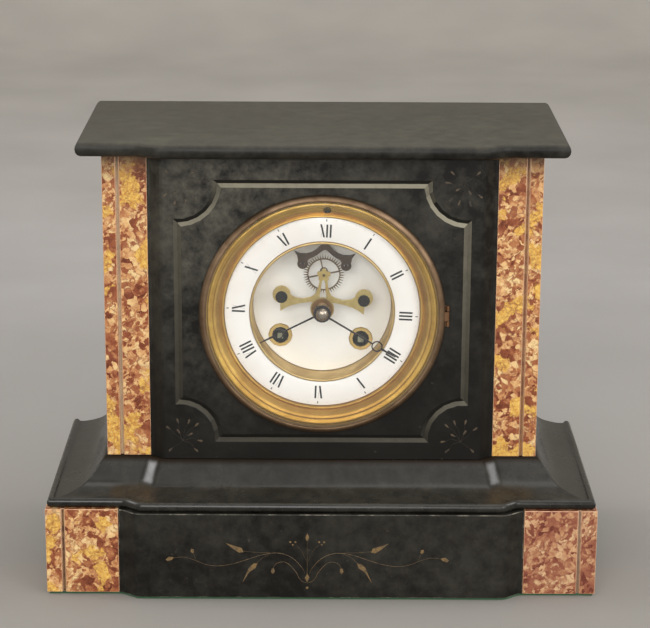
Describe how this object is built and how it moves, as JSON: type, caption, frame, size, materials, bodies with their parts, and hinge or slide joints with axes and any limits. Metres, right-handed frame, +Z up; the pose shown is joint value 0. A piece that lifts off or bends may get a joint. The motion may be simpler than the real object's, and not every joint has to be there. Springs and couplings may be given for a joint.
{
  "type": "mantel clock",
  "caption": "Breakfront slate mantel clock with marble pilasters, hinged glazed bezel, visible escapement, going and strike trains, pendulum and bell.",
  "frame": {"origin": "middle of the footprint, on the surface the clock stands on", "axes": "+Z up, the dial faces -Y, +X to the right seen from the front"},
  "size_m": [0.36, 0.182, 0.298],
  "materials": {
    "slate": "polished black slate, worn",
    "marble": "polished yellow marble with red-brown veins",
    "felt": "green felt",
    "bezel_brass": "dull browned brass",
    "glass": "clear bevelled glass",
    "gilt_brass": "polished gilt brass",
    "enamel": "white fired enamel",
    "blued_steel": "blued steel",
    "steel": "polished steel",
    "bronze": "dark bronze",
    "agate": "polished red stone",
    "bell_metal": "silvered bell metal",
    "movement_brass": "satin brass"
  },
  "bodies": {
    "case": {"base_felt": "felt", "base_front_panel": "slate", "base_block_right": "marble", "base_block_left": "marble", "base_side_right": "slate", "base_side_left": "slate", "base_back": "slate", "base_moulding": "slate", "body_front_panel": "slate", "pilaster_right": "marble", "pilaster_left": "marble", "body_side_right": "slate", "body_side_left": "slate", "body_back": "slate", "top_slab": "slate", "sight_ring": "gilt_brass", "hour_ring": "enamel", "dial_pan": "gilt_brass", "centre_dial": "enamel", "winding_grommet_right": "gilt_brass", "winding_grommet_left": "gilt_brass", "escape_cock": "gilt_brass", "cock_screw_right": "blued_steel", "cock_screw_left": "blued_steel", "bell": "bell_metal", "bell_stand": "steel", "front_plate": "movement_brass", "back_plate": "movement_brass", "suspension_cock": "movement_brass", "back_ring": "movement_brass", "strap_right": "movement_brass", "strap_left": "movement_brass"},
    "bezel": {"bezel_ring": "bezel_brass", "bezel_glass": "glass"},
    "back_door": {"back_door": "movement_brass"},
    "minute_arbor": {"centre_wheel": "movement_brass", "cannon_pinion": "steel", "minute_hand": "blued_steel", "hand_nut": "steel"},
    "hour_pipe": {"hour_wheel": "movement_brass", "hour_hand": "blued_steel"},
    "minute_wheel": {"minute_wheel": "movement_brass"},
    "intermediate": {"intermediate_wheel": "movement_brass"},
    "going_barrel": {"going_barrel": "movement_brass"},
    "third": {"third_wheel": "movement_brass"},
    "escape": {"escape_wheel": "movement_brass"},
    "going_winding": {"going_winding_arbor": "steel"},
    "strike_winding": {"strike_winding_arbor": "steel"},
    "strike_barrel": {"strike_barrel": "movement_brass"},
    "strike_second": {"strike_second_wheel": "movement_brass"},
    "pin_wheel": {"pin_wheel": "movement_brass"},
    "fly": {"strike_fly": "movement_brass"},
    "pendulum": {"pendulum_rod": "steel", "pendulum_bob": "movement_brass", "rating_nut": "movement_brass"},
    "pallets": {"pallet_anchor": "bronze", "pallet_pin_left": "agate", "pallet_pin_right": "agate"},
    "hammer": {"hammer": "steel"},
    "regulator": {"regulator_arbor": "steel"}
  },
  "joints": [
    {"name": "bezel_hinge", "type": "hinge", "parent": "case", "child": "bezel", "pos_m": [0.0815, -0.0534, 0.1828], "axis": [0, 0, 1], "range_deg": [0, 115]},
    {"name": "back_door_hinge", "type": "hinge", "parent": "case", "child": "back_door", "pos_m": [0.068, 0.0863, 0.1828], "axis": [0, 0, -1], "range_deg": [0, 115]},
    {"name": "minute_spin", "type": "hinge", "parent": "case", "child": "minute_arbor", "pos_m": [0, -0.0115, 0.1828], "axis": [0, 1, 0], "continuous": true},
    {"name": "hour_spin", "type": "hinge", "parent": "case", "child": "hour_pipe", "pos_m": [0, -0.0365, 0.1828], "axis": [0, 1, 0], "continuous": true},
    {"name": "minute_wheel_spin", "type": "hinge", "parent": "case", "child": "minute_wheel", "pos_m": [-0.00047, -0.0255, 0.17201], "axis": [0, 1, 0], "continuous": true},
    {"name": "intermediate_spin", "type": "hinge", "parent": "case", "child": "intermediate", "pos_m": [0.00515, -0.0115, 0.16442], "axis": [0, 1, 0], "continuous": true},
    {"name": "going_barrel_spin", "type": "hinge", "parent": "case", "child": "going_barrel", "pos_m": [0.02562, -0.0115, 0.15966], "axis": [0, 1, 0], "continuous": true},
    {"name": "third_spin", "type": "hinge", "parent": "case", "child": "third", "pos_m": [0.01372, -0.0115, 0.19518], "axis": [0, 1, 0], "continuous": true},
    {"name": "escape_spin", "type": "hinge", "parent": "case", "child": "escape", "pos_m": [0.001, -0.0395, 0.20568], "axis": [0, 1, 0], "continuous": true},
    {"name": "going_winding", "type": "hinge", "parent": "case", "child": "going_winding", "pos_m": [0.02562, -0.0265, 0.15966], "axis": [0, 1, 0], "continuous": true},
    {"name": "strike_winding", "type": "hinge", "parent": "case", "child": "strike_winding", "pos_m": [-0.02753, -0.0265, 0.16198], "axis": [0, 1, 0], "continuous": true},
    {"name": "strike_barrel_spin", "type": "hinge", "parent": "case", "child": "strike_barrel", "pos_m": [-0.02753, -0.0115, 0.16198], "axis": [0, 1, 0], "continuous": true},
    {"name": "strike_second_spin", "type": "hinge", "parent": "case", "child": "strike_second", "pos_m": [-0.02122, -0.0115, 0.18202], "axis": [0, 1, 0], "continuous": true},
    {"name": "pin_wheel_spin", "type": "hinge", "parent": "case", "child": "pin_wheel", "pos_m": [-0.02582, -0.0115, 0.19661], "axis": [0, 1, 0], "continuous": true},
    {"name": "fly_spin", "type": "hinge", "parent": "case", "child": "fly", "pos_m": [-0.01549, -0.0115, 0.20607], "axis": [0, 1, 0], "continuous": true},
    {"name": "pendulum_swing", "type": "hinge", "parent": "case", "child": "pendulum", "pos_m": [0.00185, 0.0305, 0.22506], "axis": [0, 1, 0], "range_deg": [-3, 3]},
    {"name": "pallet_swing", "type": "hinge", "parent": "case", "child": "pallets", "pos_m": [0.00185, -0.0415, 0.22506], "axis": [0, 1, 0], "range_deg": [-3, 3]},
    {"name": "hammer_lift", "type": "hinge", "parent": "case", "child": "hammer", "pos_m": [-0.04179, 0.0375, 0.18863], "axis": [0, 1, 0], "range_deg": [0, 22]},
    {"name": "regulator_turn", "type": "hinge", "parent": "case", "child": "regulator", "pos_m": [0.00304, -0.0485, 0.25233], "axis": [0, 1, 0], "continuous": true}
  ],
  "couplings": [
    {"joint": "hour_spin", "follows": "minute_spin", "ratio": 0.083333},
    {"joint": "minute_wheel_spin", "follows": "minute_spin", "ratio": -0.33333},
    {"joint": "intermediate_spin", "follows": "minute_spin", "ratio": -0.2},
    {"joint": "going_barrel_spin", "follows": "minute_spin", "ratio": 0.033333},
    {"joint": "third_spin", "follows": "minute_spin", "ratio": -10},
    {"joint": "escape_spin", "follows": "minute_spin", "ratio": 100},
    {"joint": "strike_second_spin", "follows": "strike_barrel_spin", "ratio": -6},
    {"joint": "pin_wheel_spin", "follows": "strike_barrel_spin", "ratio": 45},
    {"joint": "fly_spin", "follows": "strike_barrel_spin", "ratio": -270},
    {"joint": "pallet_swing", "follows": "pendulum_swing", "ratio": 1}
  ]
}
